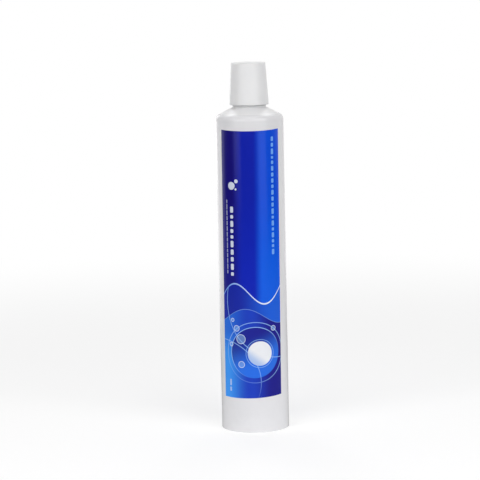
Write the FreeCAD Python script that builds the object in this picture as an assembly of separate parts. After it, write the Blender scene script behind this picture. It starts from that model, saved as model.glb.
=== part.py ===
"""Empty laminate toothpaste tube, 28 mm across, with its screw cap on.

The tube stands upright on its open tail, as it leaves the tube maker, before it is
filled from below and crimped flat. Millimetres, +Z up. The origin is the centre of the
tail's rim, on the surface that the tube stands on. The printed front faces -Y.

Four pieces: the sleeve, rolled from one laminate sheet and welded along a lap seam; the
moulded shoulder with its threaded neck; the foil seal bonded over the mouth; the cap.
"""

import FreeCAD, Part
import math
import os

Vector = FreeCAD.Vector

# Sleeve: a laminate sheet, rolled, lap welded and turned in over the shoulder
SLEEVE_RADIUS = 14.0
SLEEVE_WALL = 0.3
SLEEVE_HEIGHT = 130.0       # to the sharp corner that the outside and the cone would make
SLEEVE_TURN_RADIUS = 2.5    # outside radius where the sleeve turns in over the cone
SLEEVE_LIP = 0.7            # how far the sleeve lies on the cone past its turn
SEAM_WIDTH = 1.8
SEAM_STEP = 0.1             # how far the lap stands proud; it is pressed flush inside
SEAM_DIRECTION = 17.0       # degrees from +X towards +Y, so just behind the right side

# Shoulder: a cone with a skirt bonded inside the sleeve, and a collar round the neck
SHOULDER_SLOPE = 27.0       # degrees above level
SHOULDER_WALL = 1.1
SKIRT_DEPTH = 3.0           # below the level where the sleeve starts to turn in
SKIRT_WALL = 0.8
BOND_DEPTH = 0.05           # how deep the skirt's top has melted into the sheet
COLLAR_STEP = 1.55          # how far the collar stands out from the neck
COLLAR_HEIGHT = 1.9         # above the cone's edge

# Neck and mouth
NECK_RADIUS = 5.35          # at the root of the thread
NECK_WALL = 1.15
NECK_HEIGHT = 11.0          # from the collar's top to the mouth
MOUTH_LIP = 0.95            # how far the mouth's rim reaches in from the neck's bore
MOUTH_WALL = 1.3            # thickness of that rim, up and down

# Thread: one start, right handed, on the neck and in the cap
THREAD_PITCH = 2.4
THREAD_TURNS = 1.5
THREAD_RISE = 3.6           # from the collar's top to the middle of the neck's first ridge
THREAD_HEIGHT = 0.55
THREAD_ROOT_WIDTH = 1.15
THREAD_CREST_WIDTH = 0.5
THREAD_SINK = 0.25          # how deep a ridge's foot is rooted in the wall that carries it
THREAD_RUN_OUT = 25.0       # degrees between a ridge's sloping end and the wall
THREAD_CLEARANCE = 0.2      # between the crests of the neck's ridge and the cap's

# Foil seal, bonded to the mouth's rim and dished into the mouth
FOIL_THICKNESS = 0.1
FOIL_INSET = 0.25           # from the neck's outside in to the foil's edge
FOIL_DISH_DEPTH = 0.45
FOIL_DISH_CLEARANCE = 0.2   # between the dish and the mouth's edge

# Cap
CAP_GAP = 1.0               # from the cone's edge at the collar up to the cap's rim
CAP_RIM_WALL = 0.9
CAP_SIDE_WALL = 1.0         # beside the ceiling, where the side is thinnest
CAP_TOP_WALL = 1.1
CAP_TAPER = 3.5             # degrees that the side leans in
CAP_TOP_ROUND = 0.6
CAP_HEADROOM = 4.2          # from the mouth to the cap's ceiling
COLLAR_CLEARANCE = 0.3      # between the collar and the cap's rim around it
COLLAR_HEADROOM = 0.6       # between the collar's top and the cap above it
SEAL_RING_WALL = 1.0
SEAL_RING_MARGIN = 0.35     # from the mouth's edge out to the ring that presses the foil
GATE_MARK_RADIUS = 0.9
GATE_MARK_DEPTH = 0.15

# Moulded edges
EDGE_BEVEL = 0.2
ROUND_FLATS = 3             # short flats that follow a round where no smooth arc is used

UP = Vector(0, 0, 1)


def slope_angle():
    return math.radians(SHOULDER_SLOPE)


def cone_z(radius, depth=0.0):
    """Height of the cone's outside at a radius, or of the surface that far under it."""
    rise = (SLEEVE_RADIUS - radius) * math.tan(slope_angle())
    return SLEEVE_HEIGHT + rise - depth / math.cos(slope_angle())


def turn_reach():
    """Distance from the sleeve's sharp corner to where its turn starts, and ends."""
    return SLEEVE_TURN_RADIUS * math.tan((math.pi / 2 - slope_angle()) / 2)


def skirt_bottom_z():
    return SLEEVE_HEIGHT - turn_reach() - SKIRT_DEPTH


def collar_radius():
    return NECK_RADIUS + COLLAR_STEP


def collar_top_z():
    return cone_z(collar_radius()) + COLLAR_HEIGHT


def mouth_z():
    return collar_top_z() + NECK_HEIGHT


def mouth_radius():
    return NECK_RADIUS - NECK_WALL - MOUTH_LIP


def lip_corners():
    """The outer and inner corners of the sleeve's cut end, which is square to the cone."""
    radius = SLEEVE_RADIUS - (turn_reach() + SLEEVE_LIP) * math.cos(slope_angle())
    inner_radius = radius - SLEEVE_WALL * math.sin(slope_angle())
    inner_z = cone_z(radius) - SLEEVE_WALL * math.cos(slope_angle())
    return (radius, cone_z(radius)), (inner_radius, inner_z)


def bonded_turn():
    """The corner that sheet and shoulder share inside the turn, rounded by short flats.

    The skirt melts a little into the sheet's inner layer, so the face that they share
    leans out from the bore at the skirt's foot to this corner.
    """
    radius = SLEEVE_RADIUS - SLEEVE_WALL + BOND_DEPTH
    return radius, cone_z(radius, SLEEVE_WALL), SLEEVE_TURN_RADIUS - SLEEVE_WALL, ROUND_FLATS


def round_points(before, corner, after, radius, flats=2):
    """Evenly spaced points along the arc that rounds a corner."""
    to_before = (before - corner).normalize()
    to_after = (after - corner).normalize()
    half = to_before.getAngle(to_after) / 2
    reach = radius / math.tan(half)
    bisector = (to_before + to_after).normalize()
    middle = corner + bisector * (radius / math.sin(half) - radius)
    arc = Part.Arc(corner + to_before * reach, middle, corner + to_after * reach)
    return arc.toShape().discretize(flats + 1)


def turned(corners):
    """Revolve an outline about Z.

    Each corner is a radius and a height, and where it is rounded also the round's radius.
    The round is a smooth arc, or flats if their number comes last.
    """
    points = [Vector(corner[0], 0, corner[1]) for corner in corners]
    runs = []
    for i, point in enumerate(points):
        if len(corners[i]) == 2:
            runs.append([point])
        else:
            runs.append(round_points(points[i - 1], point, points[(i + 1) % len(points)], *corners[i][2:]))
    edges = []
    for i, run in enumerate(runs):
        edges.append(Part.LineSegment(runs[i - 1][-1], run[0]).toShape())
        if len(corners[i]) == 3:
            edges.append(Part.Arc(*run).toShape())
        else:
            edges += [Part.LineSegment(a, b).toShape() for a, b in zip(run, run[1:])]
    return Part.Face(Part.Wire(edges)).revolve(Vector(), UP, 360)


def run_out_tool(wall_radius, outward, along):
    """A block whose face slopes off a wall at +X. It cuts a ridge's end down to the wall.

    outward is 1 for a ridge outside a wall and -1 for one in a bore; along is 1 where
    the ridge leaves its end anticlockwise and -1 where it leaves clockwise.
    """
    reach = THREAD_PITCH * 2
    depth = THREAD_HEIGHT * 2
    block = Part.makeBox(reach, reach * 2, THREAD_PITCH, Vector(0, -reach, -THREAD_PITCH / 2))
    if outward < 0:
        block.translate(Vector(-reach, 0, 0))
    block.rotate(Vector(), UP, -outward * along * THREAD_RUN_OUT)
    block.translate(Vector(wall_radius - outward * THREAD_SINK / 2, 0, 0))
    sector = Part.makeBox(depth * 4, reach, THREAD_PITCH, Vector(wall_radius - depth * 2, 0, -THREAD_PITCH / 2))
    if along < 0:
        sector.translate(Vector(0, -reach, 0))
    return block.common(sector)


def thread_ridge(wall_radius, outward, start_z):
    """A helical ridge rooted in a round wall, with both of its ends sloped down to it."""
    foot = wall_radius - outward * THREAD_SINK
    crest = wall_radius + outward * THREAD_HEIGHT
    corners = [
        Vector(foot, 0, -THREAD_ROOT_WIDTH / 2),
        Vector(crest, 0, -THREAD_CREST_WIDTH / 2),
        Vector(crest, 0, THREAD_CREST_WIDTH / 2),
        Vector(foot, 0, THREAD_ROOT_WIDTH / 2),
    ]
    climb = THREAD_PITCH * THREAD_TURNS
    sweep = Part.BRepOffsetAPI.MakePipeShell(Part.Wire(Part.makeHelix(THREAD_PITCH, climb, foot).Edges))
    sweep.setFrenetMode(True)
    sweep.add(Part.makePolygon(corners + corners[:1]))
    sweep.build()
    sweep.makeSolid()
    ridge = sweep.shape()
    first = run_out_tool(wall_radius, outward, 1)
    last = run_out_tool(wall_radius, outward, -1)
    last.rotate(Vector(), UP, 360 * THREAD_TURNS)
    last.translate(Vector(0, 0, climb))
    ridge = ridge.cut([first, last])
    ridge.translate(Vector(0, 0, start_z))
    return ridge


def make_sleeve():
    """Rolled sheet: straight wall, turned lip, and the welded lap down one side."""
    bore = SLEEVE_RADIUS - SLEEVE_WALL
    lip_outer, lip_inner = lip_corners()
    wall = turned([
        (SLEEVE_RADIUS, 0),
        (SLEEVE_RADIUS, SLEEVE_HEIGHT, SLEEVE_TURN_RADIUS),
        lip_outer,
        lip_inner,
        bonded_turn(),
        (bore, skirt_bottom_z()),
        (bore, 0),
    ])
    angle = math.degrees(SEAM_WIDTH / SLEEVE_RADIUS)
    height = SLEEVE_HEIGHT - turn_reach()
    lap = Part.makeCylinder(SLEEVE_RADIUS + SEAM_STEP, height, Vector(), UP, angle)
    lap = lap.cut(Part.makeCylinder(SLEEVE_RADIUS - SLEEVE_WALL / 2, height))
    lap.rotate(Vector(), UP, SEAM_DIRECTION - angle / 2)
    return wall.fuse(lap)


def make_shoulder():
    """Moulded head: skirt, cone, collar, hollow neck with its thread, and the mouth."""
    skirt_outside = SLEEVE_RADIUS - SLEEVE_WALL
    skirt_inside = skirt_outside - SKIRT_WALL
    lip_outer, lip_inner = lip_corners()
    collar = collar_radius()
    neck_bore = NECK_RADIUS - NECK_WALL
    head = turned([
        (skirt_outside, skirt_bottom_z()),
        bonded_turn(),
        lip_inner,
        lip_outer,
        (collar, cone_z(collar)),
        (collar, collar_top_z()),
        (NECK_RADIUS, collar_top_z()),
        (NECK_RADIUS, mouth_z() - EDGE_BEVEL),
        (NECK_RADIUS - EDGE_BEVEL, mouth_z()),
        (mouth_radius(), mouth_z()),
        (mouth_radius(), mouth_z() - MOUTH_WALL),
        (neck_bore, mouth_z() - MOUTH_WALL),
        (neck_bore, cone_z(neck_bore, SHOULDER_WALL)),
        (skirt_inside, cone_z(skirt_inside, SHOULDER_WALL)),
        (skirt_inside, skirt_bottom_z()),
    ])
    return head.fuse(thread_ridge(NECK_RADIUS, 1, collar_top_z() + THREAD_RISE))


def make_foil():
    """Foil disc: a flat rim on the mouth, and a shallow dish with a sloping side."""
    rim = NECK_RADIUS - FOIL_INSET
    dish = mouth_radius() - FOIL_DISH_CLEARANCE
    floor = dish - FOIL_DISH_DEPTH
    top = mouth_z() + FOIL_THICKNESS
    return turned([
        (0, mouth_z() - FOIL_DISH_DEPTH),
        (floor, mouth_z() - FOIL_DISH_DEPTH),
        (dish, mouth_z()),
        (rim, mouth_z()),
        (rim, top),
        (dish, top),
        (floor, top - FOIL_DISH_DEPTH),
        (0, top - FOIL_DISH_DEPTH),
    ])


def make_cap():
    """Tapered screw cap: rim round the collar, thread, and a ring that presses the foil."""
    bottom = cone_z(collar_radius()) + CAP_GAP
    ceiling = mouth_z() + CAP_HEADROOM
    top = ceiling + CAP_TOP_WALL
    rim_inside = collar_radius() + COLLAR_CLEARANCE
    rim_outside = rim_inside + CAP_RIM_WALL
    taper = math.tan(math.radians(CAP_TAPER))
    top_radius = rim_outside - (top - bottom) * taper
    ceiling_radius = rim_outside - (ceiling - bottom) * taper - CAP_SIDE_WALL
    bore = NECK_RADIUS + THREAD_HEIGHT * 2 + THREAD_CLEARANCE
    step = collar_top_z() + COLLAR_HEADROOM
    seal = mouth_z() + FOIL_THICKNESS
    ring_inside = mouth_radius() + SEAL_RING_MARGIN
    ring_outside = ring_inside + SEAL_RING_WALL
    shell = turned([
        (0, top),
        (0, ceiling),
        (ring_inside, ceiling),
        (ring_inside, seal),
        (ring_outside, seal),
        (ring_outside, ceiling),
        (ceiling_radius, ceiling),
        (ceiling_radius, mouth_z() + bore - ceiling_radius),
        (bore, mouth_z()),
        (bore, step + rim_inside - bore),
        (rim_inside, step),
        (rim_inside, bottom),
        (rim_outside - EDGE_BEVEL, bottom),
        (rim_outside, bottom + EDGE_BEVEL),
        (top_radius, top, CAP_TOP_ROUND, ROUND_FLATS),
    ])
    gate_mark = Part.makeCylinder(GATE_MARK_RADIUS, GATE_MARK_DEPTH, Vector(0, 0, top - GATE_MARK_DEPTH))
    first_ridge = collar_top_z() + THREAD_RISE - THREAD_PITCH / 2
    return shell.cut(gate_mark).fuse(thread_ridge(bore, -1, first_ridge))


PIECES = {
    "sleeve": make_sleeve,
    "shoulder": make_shoulder,
    "foil_seal": make_foil,
    "cap": make_cap,
}


def main():
    os.makedirs("parts", exist_ok=True)
    for name, make in PIECES.items():
        shape = make()
        if len(shape.Solids) != 1 or not shape.isValid():
            raise ValueError(f"{name}: {len(shape.Solids)} solids, valid {shape.isValid()}")
        solid = shape.Solids[0]
        solid.exportStep(f"parts/{name}.step")
        print(f"{name}: {solid.Volume:.1f} mm3, {len(solid.Faces)} faces, top at {solid.BoundBox.ZMax:.2f}")


main()
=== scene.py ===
"""Looks of the laminate toothpaste tube: its print, plastics and foil, in a plain white studio.

Materials and print are in mm. On the unrolled sleeve, s is the arc from the middle of the
front or the back, and z the height above the tail. The studio is in metres.
"""

import bpy
import math
from mathutils import Matrix, Vector


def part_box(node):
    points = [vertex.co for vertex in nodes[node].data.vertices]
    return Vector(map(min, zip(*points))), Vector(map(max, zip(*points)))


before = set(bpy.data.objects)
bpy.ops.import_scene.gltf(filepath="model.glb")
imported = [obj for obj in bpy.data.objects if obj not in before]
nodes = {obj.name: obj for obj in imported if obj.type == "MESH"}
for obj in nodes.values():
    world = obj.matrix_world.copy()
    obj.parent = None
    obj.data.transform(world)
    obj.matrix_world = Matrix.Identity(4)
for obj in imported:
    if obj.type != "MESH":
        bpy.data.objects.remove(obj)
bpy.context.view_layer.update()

MM = 0.001

# Sleeve
TUBE_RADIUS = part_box("sleeve")[1].x / MM
TURN_START = 128.4              # where the sleeve starts to turn in
OUTSIDE_FROM = 13.85            # what lies further out than this is the sleeve's outside
CORE_RADIUS = 13.86             # middle of the metal core, seen in the cut end at the tail
CORE_HALF = 0.03
TAIL_END = 0.01                 # what lies lower than this is that cut end
SEAM_ARC = 26.15                # arc from the front to the middle of the lap seam
SEAM_HALF = 0.9

# Panels, and the two marks beside the seam as (left, right, low, high, corner)
PANEL_LOW, PANEL_HIGH = 14.8, 124.9
FRONT_LEFT, FRONT_RIGHT = -13.4, 13.75
FRONT_SHIFT = 1.5               # how far the front panel's middle lies to the left at the tail
FRONT_LEAN = 0.0107             # how far it leans back to the right for each mm of height
LOW_BOW = (-0.28, 0.03, 0.0014)     # its ends bow round the tube: shift, slope and curve
HIGH_BOW = (-0.2, 0.0, 0.0024)
BACK_HALF = 14.5
BACK_SHIFT = 2.0                # to the right, as seen from behind
EYE_MARK = (20.9, 24.4, 1.5, 5.0, 0)
SIDE_PLATE = (30.0, 33.0, 7.3, 11.9, 0)
EDGE_BLUR = 0.07

# Between which arcs, from left to right, an ink turns into the next one
# TO_BRIGHT is also where the painted reflection in the bright blue begins
TO_ROYAL, TO_BRIGHT = (-8.0, -3.0), (1.2, 5.2)
TO_COBALT, TO_VIOLET = (-12.0, -1.0), (0.0, 9.0)
TO_LIGHT_BAND, TO_WHITE_LINE, TO_PALE_INK = (-6.0, 10.0), (-13.0, 8.0), (-2.0, 6.0)

# Between which heights the ink below changes into the one above
LIVELY_BELOW, AZURE_BELOW = (62.0, 104.0), (30.0, 44.0)

# Waves as (start, length, height, middle)
WAVE = (-14, 27, 5.0, 58.0)
WAVE_RISE = 0.12                # for each mm of arc
LOW_WAVE = (-10, 31, 3.2, 48.5)
LABEL_WAVE = (0, 19.635, 1.8, 25.6)

# Discs as (s, z, radius)
POOL = (1.6, 33.6, 10.6)
PEARL = (3.6, 33.2, 5.1)
RINGS = ((-13.5, 21.0, 17.5), (13.0, 55.0, 24.0), (1.6, 33.6, 12.6))
BUBBLES = ((-4.4, 39.2, 1.9), (-6.3, 43.6, 1.2), (-4.2, 28.6, 1.3), (-9.0, 36.8, 0.8),
           (9.6, 43.4, 1.0), (-8.2, 47.0, 0.7))
DOTS = ((-8.0, 102.4, 1.6), (-5.8, 104.3, 0.8), (-6.0, 101.0, 0.45))
HALO_GAP = 0.75                 # from the pearl to the ring round it

# Half widths of the printed lines
WAVE_HALF, BAND_HALF, POOL_HALF, RING_HALF = 0.3, 0.12, 0.14, 0.15
BUBBLE_HALF, HALO_HALF, OUTLINE_HALF, SEAM_LINE_HALF = 0.12, 0.12, 0.16, 0.05

# Columns of bars: middle, width, low end, high end, pitch, seed, and the ink's strength
FRONT_BARS = (
    (10.0, 1.2, 74.5, 121.5, 4.9, 10.0, 0.82),
    (-8.0, 1.45, 64.0, 93.6, 5.9, 12.0, 0.92),
    (-10.5, 0.55, 66.0, 96.0, 4.4, 29.0, 0.5),
    (-9.6, 0.9, 19.0, 20.4, 5.6, 41.0, 0.5),
)

# Back print, with boxes as (left, right, low, high, corner)
OUTLINE = (-11.6, 8.6, 66.0, 114.0, 1.6)
LABEL = (-10.6, 10.6, 19.4, 42.0, 2.2)
TITLE_BARS = (11.4, 1.4, 72.0, 108.0, 9.0, 97.0)
OUTLINE_MARGIN = 1.2            # kept free of text
NOTES_MIDDLE, NOTES_HALF = -1.6, 9.4
ENTRIES_HALF = 8.0
BACK_PITCH = 3.2                # between the columns of bars
BACK_FIRST = -11.2              # where the first column's share starts

# Bars in all those columns: width; low end and its spread; high end and its spread; pitch; seed
TEXT_BARS = (0.8, 69.0, 16.0, 111.0, 0.0, 6.6, 7.0)
NOTES_BARS = (0.65, 46.0, 5.0, 61.0, 0.0, 4.6, 5.0)
ENTRY_BARS = (0.6, 30.4, 0.0, 39.6, -3.0, 4.4, 3.0)

# Inks and plastics, each as 0 to 255. A pair is a colour and the one that it turns into
PAPER = (233, 232, 234), (227, 227, 230)
INDIGO = (22, 16, 118), (26, 27, 136)
ROYAL = (12, 32, 170), (10, 36, 184)
# Bright blue: the print's ink with a painted reflection of the right-hand light in it
BRIGHT = (10, 78, 220), (14, 95, 231)
AZURE = (60, 156, 254)
DEEP_AZURE = (36, 110, 226)
COBALT = (26, 64, 194)
VIOLET = (26, 24, 138)
BAND_BLUE = (20, 40, 166), (26, 96, 222)
POOL_BLUE = (40, 118, 240), (26, 24, 138)
PEARL_WHITE = (240, 242, 247), (176, 200, 240)
WAVE_LINE = (112, 160, 240), (232, 242, 255)
BUBBLE_FILL, BUBBLE_RIM = (150, 194, 248), (214, 228, 250)
PALE_LINE = (150, 196, 250)
WHITE_INK, PALE_INK = (222, 230, 246), (128, 186, 252)
LABEL_WHITE, LABEL_BLUE, LABEL_BARS = (236, 238, 243), (30, 84, 208), (60, 66, 120)
MARK_BLACK, PLATE_BLUE = (20, 20, 24), (24, 34, 112)
LINING = (206, 210, 216), (190, 196, 204)
CUT_EDGE, METAL_CORE = (224, 226, 230), (128, 132, 140)
SHOULDER_WHITE, CAP_WHITE = (237, 237, 238), (241, 241, 242)
FOIL_GREY = (196, 198, 202), (214, 215, 218)
TABLE_WHITE, BOUNCE_WHITE = (255, 255, 255), (230, 230, 230)

EMBOSS_PITCH = 0.62             # of the foil's grid

# Camera of the photograph: its place in mm, its turns in degrees, and in pixels its focal
# length and the width of the picture
CAMERA_PLACE = (1.24, -800.0, 187.97)
CAMERA_PITCH, CAMERA_YAW, CAMERA_ROLL = 7.79, -0.44, -1.26
FOCAL_PIXELS, PICTURE_PIXELS = 1949.09, 480
SENSOR_WIDTH = 36               # mm

# Table top, in metres from the tube
TABLE_FRONT, TABLE_BACK, TABLE_SIDE = -0.4, 2.6, 1.6

# Where the table changes, in mm from the tube's axis
TABLE_NEAR = (180.0, 520.0)     # from taking light and shadow to plain white
BOUNCE_FADE = (300.0, 600.0)

# Two patches that light the tube's sides, as (x, strength), both at the same y, in mm
PATCHES = ((120.0, 0.78), (-115.0, 0.5))
PATCH_Y = 50.0
PATCH_FADE = (60.0, 180.0)

# Room behind the camera: how bright, and between which directions along y it turns white
ROOM_LEVEL = 0.05
ROOM_FADE = (-0.35, 0.45)

# Lights: azimuth in degrees from the front towards the right; height, distance, width and
# length in metres; radiance; and the height that it is aimed at
LIGHTS = {
    "key_left": (-36, 0.58, 0.94, 0.8, 0.7, 2.08, 0.08),
    "key_right": (38, 0.58, 0.94, 0.8, 0.7, 2.36, 0.08),
    "fill_front": (0, 0.3, 1.2, 0.8, 0.3, 1.2, 0.08),
    "top_front": (0, 0.85, 0.35, 0.5, 0.3, 2.5, 0.13),
    "rim_left": (-157, 0.2, 0.95, 0.3, 0.5, 1.0, 0.1),
    "glint_left": (-161, 0.77, 0.7, 0.2, 0.22, 3.4, 0.13),
    "glint_right": (162, 0.8, 0.68, 0.2, 0.22, 3.0, 0.13),
    "strip_left": (-44, 0.32, 0.62, 0.26, 0.56, 0.62, 0.32),
    "strip_right": (40, 0.3, 0.62, 0.32, 0.58, 0.5, 0.3),
}


# Small language for procedural materials

class Field:
    """A value that a material works out at each point, built from math nodes."""

    def __init__(self, board, socket):
        self.board = board
        self.socket = socket

    def __add__(self, other):
        return self.board.math("ADD", self, other)

    __radd__ = __add__

    def __sub__(self, other):
        return self.board.math("SUBTRACT", self, other)

    def __rsub__(self, other):
        return self.board.math("SUBTRACT", other, self)

    def __mul__(self, other):
        return self.board.math("MULTIPLY", self, other)

    __rmul__ = __mul__

    def __truediv__(self, other):
        return self.board.math("DIVIDE", self, other)

    def __neg__(self):
        return self * -1

    def __abs__(self):
        return self.board.math("ABSOLUTE", self)

    def squared(self):
        return self * self

    def root(self):
        return self.board.math("SQRT", self)

    def floor(self):
        return self.board.math("FLOOR", self)

    def fraction(self):
        return self.board.math("FRACT", self)

    def sine(self):
        return self.board.math("SINE", self)

    def least(self, other):
        return self.board.math("MINIMUM", self, other)

    def most(self, other):
        return self.board.math("MAXIMUM", self, other)


class Board:
    """A node tree that formulas are written into."""

    def __init__(self, tree):
        self.tree = tree

    def node(self, kind, **settings):
        node = self.tree.nodes.new(kind)
        for name, value in settings.items():
            setattr(node, name, value)
        return node

    def link(self, source, socket):
        self.tree.links.new(source, socket)

    def feed(self, value, socket):
        if isinstance(value, Field):
            self.link(value.socket, socket)
        else:
            socket.default_value = value

    def math(self, operation, *values):
        node = self.node("ShaderNodeMath", operation=operation)
        for value, socket in zip(values, node.inputs):
            self.feed(value, socket)
        return Field(self, node.outputs[0])

    def inside(self, distance, blur=0.1):
        """1 where a signed distance is below 0, 0 above it, blurred over a width."""
        node = self.node("ShaderNodeClamp")
        self.feed(0.5 - distance / blur, node.inputs["Value"])
        return Field(self, node.outputs[0])

    def line(self, distance, half_width, blur=0.1):
        """1 on a line that follows where a signed distance is 0."""
        return self.inside(abs(distance) - half_width, blur)

    def ramp(self, value, low, high):
        """0 below low and 1 above high, smooth between."""
        node = self.node("ShaderNodeMapRange", interpolation_type="SMOOTHSTEP", clamp=False)
        self.feed(value, node.inputs["Value"])
        node.inputs["From Min"].default_value = low
        node.inputs["From Max"].default_value = high
        return Field(self, node.outputs["Result"])

    def fade(self, value, low, high):
        """1 below low and 0 above high, smooth between."""
        return 1 - self.ramp(value, low, high)

    def hash(self, value):
        """A fixed random number from 0 to 1 for each whole value."""
        node = self.node("ShaderNodeTexWhiteNoise", noise_dimensions="1D")
        self.feed(value, node.inputs["W"])
        return Field(self, node.outputs["Value"])

    def seen_rays(self):
        """The Light Path node, and 1 for rays that show: to the camera, in gloss, through glass."""
        path = self.node("ShaderNodeLightPath")
        seen = Field(self, path.outputs["Is Camera Ray"])
        for name in ("Is Glossy Ray", "Is Transmission Ray"):
            seen = seen.most(Field(self, path.outputs[name]))
        return path, seen


def stamp(name, inputs, build):
    """Makes a formula once, as a node group, and returns a function that uses it."""
    tree = bpy.data.node_groups.new(name, "ShaderNodeTree")
    for word in inputs:
        tree.interface.new_socket(word, in_out="INPUT", socket_type="NodeSocketFloat")
    tree.interface.new_socket("result", in_out="OUTPUT", socket_type="NodeSocketFloat")
    board = Board(tree)
    entry = board.node("NodeGroupInput")
    result = build(board, *(Field(board, entry.outputs[word]) for word in inputs))
    board.link(result.socket, board.node("NodeGroupOutput").inputs[0])

    def use(m, *values):
        node = m.node("ShaderNodeGroup", node_tree=tree)
        for value, socket in zip(values, node.inputs):
            m.feed(value, socket)
        return Field(m, node.outputs[0])
    return use


def linear(rgb):
    """Linear colour from one written as 0 to 255, by the sRGB curve."""
    return [c / 3294.6 if c <= 10.31 else ((c / 255 + 0.055) / 1.055) ** 2.4 for c in rgb]


class Shader(Board):
    """One material, with its place on the part in mm."""

    def __init__(self, name):
        self.material = bpy.data.materials.new(name)
        self.material.use_nodes = True
        super().__init__(self.material.node_tree)
        self.bsdf = self.tree.nodes["Principled BSDF"]
        self.place = self.node("ShaderNodeTexCoord").outputs["Object"]
        split = self.node("ShaderNodeSeparateXYZ")
        self.link(self.place, split.inputs[0])
        self.x, self.y, self.z = (Field(self, out) / MM for out in split.outputs)
        self.radius = (self.x.squared() + self.y.squared()).root()

    def around(self, zero):
        """Arc round the tube, from 0 at the front (-Y) or at the back (+Y)."""
        side = 1 if zero == "front" else -1
        return self.math("ARCTAN2", self.x * side, self.y * -side) * TUBE_RADIUS

    def noise(self, scale, detail=2.0, stretch=(1, 1, 1), seed=0.0):
        """Smooth noise from 0 to 1. Scale is in features per mm."""
        shift = self.node("ShaderNodeMapping")
        shift.inputs["Scale"].default_value = [s * scale / MM for s in stretch]
        shift.inputs["Location"].default_value = (seed, seed * 1.7, seed * 2.3)
        self.link(self.place, shift.inputs["Vector"])
        node = self.node("ShaderNodeTexNoise")
        node.inputs["Scale"].default_value = 1.0
        node.inputs["Detail"].default_value = detail
        self.link(shift.outputs[0], node.inputs["Vector"])
        return Field(self, node.outputs[0])

    def mix(self, under, over, share):
        """The colour under, covered by the colour over as far as share says."""
        node = self.node("ShaderNodeMix", data_type="RGBA")
        self.feed(share, node.inputs[0])
        for colour, socket in ((under, node.inputs[6]), (over, node.inputs[7])):
            if isinstance(colour, tuple):
                socket.default_value = (*linear(colour), 1)
            else:
                self.link(colour, socket)
        return node.outputs[2]

    def shade(self, colour, factor):
        """A colour made lighter or darker by a field about 1."""
        node = self.node("ShaderNodeVectorMath", operation="SCALE")
        if isinstance(colour, tuple):
            node.inputs[0].default_value = linear(colour)
        else:
            self.link(colour, node.inputs[0])
        self.feed(factor, node.inputs["Scale"])
        return node.outputs[0]

    def set(self, **values):
        for name, value in values.items():
            socket = self.bsdf.inputs[name.replace("_", " ")]
            if isinstance(value, (Field, bpy.types.NodeSocket)):
                self.link(value.socket if isinstance(value, Field) else value, socket)
            else:
                socket.default_value = value

    def relief(self, height, edge_round=0.0):
        """Bump from a height field in mm, over edges rounded by that many mm."""
        bump = self.node("ShaderNodeBump")
        bump.inputs["Distance"].default_value = MM
        self.feed(height, bump.inputs["Height"])
        if edge_round:
            bevel = self.node("ShaderNodeBevel", samples=6)
            bevel.inputs["Radius"].default_value = edge_round * MM
            self.link(bevel.outputs[0], bump.inputs["Normal"])
        self.link(bump.outputs[0], self.bsdf.inputs["Normal"])

    def matt_and_glow(self, colour, strength):
        """A matt surface of a colour that also gives off white light of its own."""
        matt = self.node("ShaderNodeBsdfDiffuse")
        self.link(colour, matt.inputs["Color"])
        glow = self.node("ShaderNodeEmission")
        self.feed(strength, glow.inputs["Strength"])
        both = self.node("ShaderNodeAddShader")
        self.link(matt.outputs[0], both.inputs[0])
        self.link(glow.outputs[0], both.inputs[1])
        return both.outputs[0]


# Formulas on the unrolled sleeve

def box_formula(m, s, z, left, right, low, high, corner):
    across = abs(s - (left + right) * 0.5) - (right - left) * 0.5 + corner
    up = abs(z - (low + high) * 0.5) - (high - low) * 0.5 + corner
    outer = (across.most(0).squared() + up.most(0).squared()).root()
    return outer + across.most(up).least(0) - corner


def disc_formula(m, s, z, middle_s, middle_z, radius):
    return ((s - middle_s).squared() + (z - middle_z).squared()).root() - radius


def column_formula(m, s, z, middle, width, low, high, pitch, seed):
    """Two bars of uneven length to a pitch. Only pitches with their middle between the ends show."""
    step = z / pitch
    cell = step.floor()
    kept = abs((cell + 0.5) * pitch - (low + high) * 0.5) - (high - low) * 0.5
    share = step.fraction()
    split = m.hash(cell + seed) * 0.36 + 0.32
    to_gap = share.least(1 - share).least(abs(share - split)) * pitch
    along = width * 0.62 - to_gap
    across = abs(s - middle) - width * 0.2
    rounded = (along.most(0).squared() + across.most(0).squared()).root() - width * 0.3
    return m.inside(rounded, 0.08) * m.inside(kept, 0.06)


# Signed distance to a rectangle with rounded corners
box_distance = stamp("box_distance", ("s", "z", "left", "right", "low", "high", "corner"), box_formula)

# Signed distance to a disc
disc_distance = stamp("disc_distance", ("s", "z", "middle_s", "middle_z", "radius"), disc_formula)

# A column of plain bars along the tube, with even gaps
column = stamp("bar_column", ("s", "z", "middle", "width", "low", "high", "pitch", "seed"), column_formula)


def bow(s, shift, slope, curve):
    """How far an end of the front panel lies above its height, along the arc."""
    return s * slope + s.squared() * curve + shift


def wave_height(s, start, length, height, middle):
    """Height of a wave along the arc."""
    return ((s - start) * (math.tau / length)).sine() * height + middle


def any_of(parts):
    """The largest of some fields."""
    total = parts[0]
    for part in parts[1:]:
        total = total.most(part)
    return total


def nearest(parts):
    """The least of some signed distances."""
    return -any_of([-part for part in parts])


def discs_distance(m, s, z, discs):
    """Signed distance to the nearest of some discs."""
    return nearest([disc_distance(m, s, z, *disc) for disc in discs])


# Print: plain fields of colour, waves, bubbles and bars

def blue_field(m, s):
    """The panel's ground: indigo, royal and bright blue from left to right, livelier low down, with a painted
    reflection in the bright blue.
    """
    down = m.fade(m.z, *LIVELY_BELOW)
    ground = m.mix(m.mix(*INDIGO, down), m.mix(*ROYAL, down), m.ramp(s, *TO_ROYAL))
    # The bright blue at the right, over the whole height, is partly print and partly a painted reflection
    return m.mix(ground, m.mix(*BRIGHT, down), m.ramp(s, *TO_BRIGHT))


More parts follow.
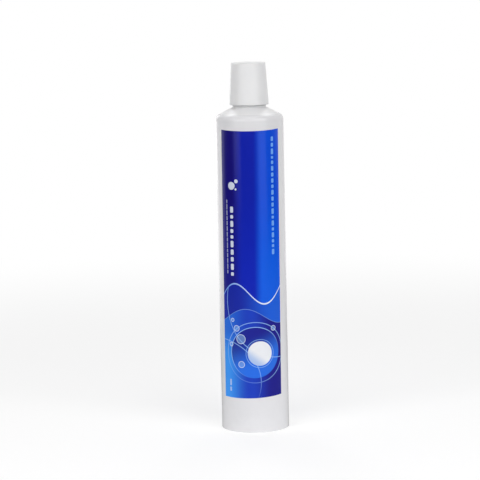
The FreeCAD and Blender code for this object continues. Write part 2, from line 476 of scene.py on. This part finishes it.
def lower_ground(m, s, z):
    """Below the wave: azure at the left, violet at the right, and a band along the top."""
    ink = m.mix(DEEP_AZURE, AZURE, m.fade(z, *AZURE_BELOW))
    ink = m.mix(ink, COBALT, m.ramp(s, *TO_COBALT))
    ink = m.mix(ink, VIOLET, m.ramp(s, *TO_VIOLET))
    band = wave_height(s, *LOW_WAVE) - z
    ink = m.mix(ink, m.mix(*BAND_BLUE, m.ramp(s, *TO_LIGHT_BAND)), m.inside(band, 0.25))
    return m.mix(ink, PALE_LINE, m.line(band, BAND_HALF) * 0.45)


def pool_and_rings(m, s, z, ink):
    """A round pool with a bright rim, and thin arcs round it."""
    pool = disc_distance(m, s, z, *POOL)
    pool_ink = m.mix(*POOL_BLUE, m.ramp(z - s * 0.5, 27.0, 41.0))
    ink = m.mix(ink, pool_ink, m.inside(pool, 0.15) * 0.85)
    rim = m.line(pool, POOL_HALF) * m.ramp(z - s * 0.8, 22.0, 40.0)
    to_ring = nearest([abs(disc_distance(m, s, z, *ring)) for ring in RINGS])
    ring = m.inside(to_ring - RING_HALF) * m.ramp(z + s * 0.5, 12.0, 34.0)
    return m.mix(ink, PALE_LINE, rim.most(ring * 0.8))


def bubbles_and_pearl(m, s, z, ink):
    """Bubbles with bright rims, and one large pearl that is bluer at its lower left."""
    bubble = discs_distance(m, s, z, BUBBLES)
    ink = m.mix(ink, BUBBLE_FILL, m.inside(bubble, 0.08) * 0.4)
    ink = m.mix(ink, BUBBLE_RIM, m.line(bubble, BUBBLE_HALF) * 0.9)
    pearl = disc_distance(m, s, z, *PEARL)
    pearl_ink = m.mix(*PEARL_WHITE, m.fade(s * 0.6 + z * 0.8, 24.4, 28.6))
    ink = m.mix(ink, pearl_ink, m.inside(pearl))
    return m.mix(ink, PALE_LINE, m.line(pearl - HALO_GAP, HALO_HALF) * 0.7)


def front_print(m, colour):
    """Front panel. Returns the colour with the print on it, and where there is ink."""
    z = m.z
    s = m.around("front") - z * FRONT_LEAN + FRONT_SHIFT
    above_wave = z - (wave_height(s, *WAVE) + s * WAVE_RISE)
    lower = lower_ground(m, s, z)
    lower = pool_and_rings(m, s, z, lower)
    lower = bubbles_and_pearl(m, s, z, lower)
    ink = m.mix(blue_field(m, s), lower, m.inside(above_wave))
    line_ink = m.mix(*WAVE_LINE, m.ramp(s, *TO_WHITE_LINE))
    ink = m.mix(ink, line_ink, m.line(above_wave, WAVE_HALF))

    bars = [column(m, s, z, *bar) * strength for *bar, strength in FRONT_BARS]
    bars.append(m.inside(discs_distance(m, s, z, DOTS)) * 0.9)
    ink = m.mix(ink, m.mix(WHITE_INK, PALE_INK, m.ramp(s, *TO_PALE_INK)), any_of(bars))

    low = bow(s, *LOW_BOW) + PANEL_LOW
    high = bow(s, *HIGH_BOW) + PANEL_HIGH
    panel = m.inside(box_distance(m, s, z, FRONT_LEFT, FRONT_RIGHT, low, high, 0), EDGE_BLUR)
    return m.mix(colour, ink, panel), panel


def back_print(m, colour):
    """Back panel: a rounded outline round columns of bars, and a pale label near the tail."""
    z = m.z
    s = m.around("back") - BACK_SHIFT
    step = (s - BACK_FIRST) / BACK_PITCH
    number = step.floor()
    across = (step.fraction() - 0.5) * BACK_PITCH
    uneven = m.hash(number)

    def columns(width, low, low_spread, high, high_spread, pitch, seed):
        """Columns side by side, each with ends of its own."""
        ends = uneven * low_spread + low, uneven * high_spread + high
        return column(m, across, z, 0, width, *ends, pitch, number * seed)

    outline = box_distance(m, s, z, *OUTLINE)
    bars = any_of([
        m.line(outline, OUTLINE_HALF, 0.08) * 0.8,
        columns(*TEXT_BARS) * m.inside(outline + OUTLINE_MARGIN) * 0.8,
        column(m, s, z, *TITLE_BARS) * 0.9,
        columns(*NOTES_BARS) * m.inside(abs(s - NOTES_MIDDLE) - NOTES_HALF) * 0.7,
    ])
    ink = m.mix(blue_field(m, -s), WHITE_INK, bars)

    swell = wave_height(s, *LABEL_WAVE) - z
    label_ink = m.mix(LABEL_WHITE, AZURE, m.ramp(swell, -0.1, 0.1))
    label_ink = m.mix(label_ink, LABEL_BLUE, m.ramp(swell, 1.5, 1.7))
    entries = columns(*ENTRY_BARS) * m.inside(abs(s) - ENTRIES_HALF)
    label_ink = m.mix(label_ink, LABEL_BARS, entries * 0.85)
    ink = m.mix(ink, label_ink, m.inside(box_distance(m, s, z, *LABEL), 0.08))

    box = box_distance(m, s, z, -BACK_HALF, BACK_HALF, PANEL_LOW, PANEL_HIGH, 0)
    panel = m.inside(box, EDGE_BLUR)
    return m.mix(colour, ink, panel), panel


# Materials

def sleeve_material():
    """Gloss laminate: white sheet with the print outside, milky inside, a metal core in the cut."""
    m = Shader("printed_laminate")
    mottle = m.noise(0.35, 3.0, seed=3) - 0.5
    colour = m.mix(*PAPER, m.noise(0.05, 2.0, stretch=(1, 1, 0.3), seed=9))
    colour, front = front_print(m, colour)
    colour, back = back_print(m, colour)
    s = m.around("front")
    mark = m.inside(box_distance(m, s, m.z, *EYE_MARK), EDGE_BLUR)
    colour = m.mix(colour, MARK_BLACK, mark)
    plate = m.inside(box_distance(m, s, m.z, *SIDE_PLATE), EDGE_BLUR)
    colour = m.mix(colour, PLATE_BLUE, plate)
    ink = front.most(back).most(mark).most(plate)
    seam_edges = m.line(abs(s - SEAM_ARC) - SEAM_HALF, SEAM_LINE_HALF)
    colour = m.shade(colour, mottle * 0.05 + 1.0 - seam_edges * 0.22)

    outside = m.inside(OUTSIDE_FROM - m.radius, 0.01).most(m.inside(TURN_START - m.z))
    lining = m.mix(*LINING, m.noise(0.12, 3.0, stretch=(1, 1, 0.15), seed=5))
    colour = m.mix(lining, colour, outside)
    cut = m.inside(m.z - TAIL_END, 0.01)
    core = m.line(m.radius - CORE_RADIUS, CORE_HALF, 0.02) * cut
    colour = m.mix(colour, CUT_EDGE, cut)
    colour = m.mix(colour, METAL_CORE, core)

    scuff = m.ramp(m.noise(0.9, 5.0, stretch=(1, 1, 0.06), seed=21), 0.62, 0.8)
    roughness = mottle * 0.06 + 0.2 + scuff * 0.07 + (1 - outside) * 0.22 - ink * 0.03
    peel = m.noise(1.0, 2.0, seed=13) * 0.0035
    swell = m.noise(0.07, 2.0, stretch=(1, 1, 0.45), seed=31) * 0.05
    m.set(Base_Color=colour, Roughness=roughness, Specular_IOR_Level=0.5)
    m.relief(peel + swell + ink * 0.004)
    return m.material


def moulded_material(name, colour, roughness, seed):
    """Moulded plastic: fine texture, faint flow marks and light passing a little way in."""
    m = Shader(name)
    shade = m.noise(0.18, 3.0, seed=seed) - 0.5
    flow = m.noise(0.9, 3.0, stretch=(1, 1, 0.05), seed=seed + 2)
    darker = tuple(c - 7 for c in colour)
    base = m.mix(colour, darker, shade * 0.8 + 0.5)
    grain = m.noise(9.0, 2.0, seed=seed + 4)
    m.set(Base_Color=base, Roughness=grain * 0.06 + flow * 0.06 + roughness,
          Subsurface_Weight=0.12, Subsurface_Radius=(1.0, 0.9, 0.8), Subsurface_Scale=0.8 * MM)
    dents = m.noise(0.22, 2.0, seed=seed + 6)
    m.relief(grain * 0.0012 + flow * 0.003 + dents * 0.02, edge_round=0.22)
    return m.material


def foil_material():
    """Dull rolled foil with a fine embossed grid and a few creases."""
    m = Shader("sealing_foil")
    rolled = m.noise(0.9, 4.0, stretch=(1, 9, 1), seed=2)
    across = abs((m.x / EMBOSS_PITCH).fraction() - 0.5)
    along = abs((m.y / EMBOSS_PITCH).fraction() - 0.5)
    grid = m.ramp(across.least(along), 0.06, 0.2)
    crease = m.noise(0.55, 4.0, seed=8)
    m.set(Base_Color=m.mix(*FOIL_GREY, rolled), Metallic=1.0, Roughness=rolled * 0.14 + 0.26)
    m.relief(grid * 0.018 + crease * 0.09, edge_round=0.08)
    return m.material


def dress_nodes():
    """Gives each solid its material."""
    for name, material in (
        ("sleeve", sleeve_material()),
        ("shoulder", moulded_material("moulded_white", SHOULDER_WHITE, 0.25, 40)),
        ("foil_seal", foil_material()),
        ("cap", moulded_material("cap_white", CAP_WHITE, 0.26, 60)),
    ):
        nodes[name].material_slots[0].material = material


# Studio: white table and backdrop, soft lights, a darker room behind the camera

def make_world():
    """White behind the tube and to every camera; dimmer round the camera's side."""
    world = bpy.data.worlds.new("studio")
    bpy.context.scene.world = world
    world.use_nodes = True
    m = Board(world.node_tree)
    split = m.node("ShaderNodeSeparateXYZ")
    m.link(m.node("ShaderNodeTexCoord").outputs["Generated"], split.inputs[0])
    room = m.ramp(Field(m, split.outputs["Y"]), *ROOM_FADE) * (1 - ROOM_LEVEL) + ROOM_LEVEL
    path, seen = m.seen_rays()
    shown = room.most(Field(m, path.outputs["Is Camera Ray"]))
    background = m.tree.nodes["Background"]
    background.inputs["Color"].default_value = (1, 1, 1, 1)
    m.feed(shown * seen + room * 0.5 * (1 - seen), background.inputs["Strength"])


def patch(m, x, strength):
    """Light from a round patch of the table beside the tube."""
    away = ((m.x - x).squared() + (m.y - PATCH_Y).squared()).root()
    return m.fade(away, *PATCH_FADE) * strength


def table_material():
    """White table. Near the tube it takes light and shadow; further off it is plain white."""
    m = Shader("white_table")
    path, seen = m.seen_rays()
    near = m.fade(m.radius, *TABLE_NEAR)

    # Seen in gloss, it is dim in front of the tube, and brighter behind it and to its left
    at_foot = m.fade(m.radius, 300.0, 460.0)
    behind = m.ramp(m.y, 0.0, 500.0)
    left_behind = m.ramp(-m.x, 30.0, 110.0) * m.ramp(m.y, 60.0, 260.0)
    lit = (at_foot * 0.2).most(behind * 0.86) + left_behind * 0.65
    level = 1 - Field(m, path.outputs["Is Glossy Ray"]) * (1 - lit)
    shown = m.matt_and_glow(m.shade(TABLE_WHITE, near * level * 0.56), (1 - near * 0.465) * level)

    # What it throws on the tube: bounced light, and some more from both sides
    bounce = m.shade(BOUNCE_WHITE, 1 - m.ramp(m.radius, *BOUNCE_FADE) * 0.6)
    thrown = m.matt_and_glow(bounce, sum(patch(m, *values) for values in PATCHES))

    mix = m.node("ShaderNodeMixShader")
    m.feed(seen, mix.inputs[0])
    m.link(thrown, mix.inputs[1])
    m.link(shown, mix.inputs[2])
    m.link(mix.outputs[0], m.tree.nodes["Material Output"].inputs["Surface"])
    m.tree.nodes.remove(m.bsdf)
    return m.material


def make_table():
    """A flat table top that reaches far behind the tube."""
    left, right = -TABLE_SIDE, TABLE_SIDE
    corners = [(left, TABLE_FRONT, 0), (right, TABLE_FRONT, 0), (right, TABLE_BACK, 0), (left, TABLE_BACK, 0)]
    mesh = bpy.data.meshes.new("table_top")
    mesh.from_pydata(corners, [], [(0, 1, 2, 3)])
    mesh.materials.append(table_material())
    table = bpy.data.objects.new("table_top", mesh)
    bpy.context.scene.collection.objects.link(table)


def soft_box(name, azimuth, height, distance, width, length, radiance, aim):
    """A rectangular light that faces the tube's axis at the height aim."""
    angle = math.radians(azimuth)
    place = Vector((math.sin(angle) * distance, -math.cos(angle) * distance, height))
    data = bpy.data.lights.new(name, "AREA")
    data.shape = "RECTANGLE"
    data.size = width
    data.size_y = length
    data.energy = radiance * math.pi * width * length
    facing = (Vector((0, 0, aim)) - place).to_track_quat("-Z", "Y").to_matrix().to_4x4()
    light = bpy.data.objects.new(name, data)
    light.matrix_world = Matrix.Translation(place) @ facing
    bpy.context.scene.collection.objects.link(light)


def make_camera():
    """The photograph's camera: its place, its small tilt and its long lens."""
    pitch, yaw, roll = (math.radians(a) for a in (CAMERA_PITCH, CAMERA_YAW, CAMERA_ROLL))
    ahead = Vector((math.sin(yaw) * math.cos(pitch), math.cos(yaw) * math.cos(pitch), -math.sin(pitch)))
    level = Vector((math.cos(yaw), -math.sin(yaw), 0))
    up = level.cross(ahead)
    right = level * math.cos(roll) + up * math.sin(roll)
    top = -level * math.sin(roll) + up * math.cos(roll)
    data = bpy.data.cameras.new("camera")
    data.sensor_width = SENSOR_WIDTH
    data.lens = FOCAL_PIXELS * SENSOR_WIDTH / PICTURE_PIXELS
    data.clip_start = 0.01
    data.clip_end = 20
    turned = Matrix((right, top, -ahead)).transposed().to_4x4()
    camera = bpy.data.objects.new("camera", data)
    camera.matrix_world = Matrix.Translation(Vector(CAMERA_PLACE) * MM) @ turned
    bpy.context.scene.collection.objects.link(camera)
    bpy.context.scene.camera = camera


dress_nodes()
make_world()
make_table()
for light_name, light_values in LIGHTS.items():
    soft_box(light_name, *light_values)
make_camera()
bpy.context.scene.view_settings.view_transform = "Standard"
